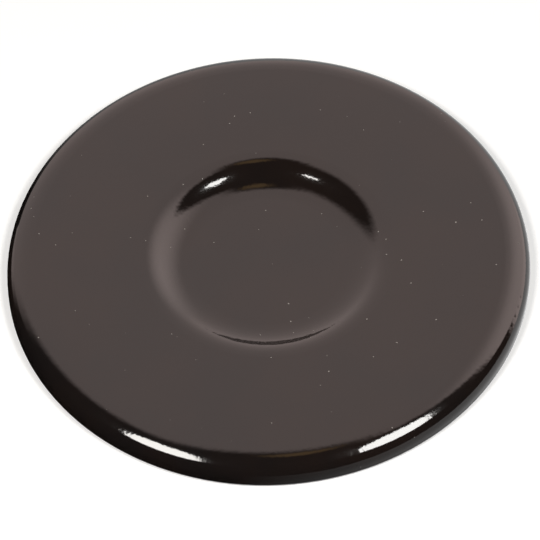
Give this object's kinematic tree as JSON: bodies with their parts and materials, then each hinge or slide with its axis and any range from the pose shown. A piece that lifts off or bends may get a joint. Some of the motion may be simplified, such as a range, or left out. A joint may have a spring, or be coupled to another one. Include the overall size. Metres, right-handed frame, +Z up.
{
  "type": "gas burner cap",
  "caption": "Round, faintly domed steel cap with a shallow dished centre and a rolled-down rim; it covers a gas burner head and sends the flame out around its edge.",
  "frame": {"origin": "on the cap's axis, level with the lower edge of the rim", "axes": "+Z up along the cap's axis, out of the dished top; X and Y are alike, because the cap is round"},
  "size_m": [0.1, 0.1, 0.0061],
  "materials": {
    "enamel": "gloss vitreous enamel, very dark warm brown, fused over pressed sheet steel"
  },
  "bodies": {
    "root": {"burner_cap": "enamel"}
  },
  "joints": []
}
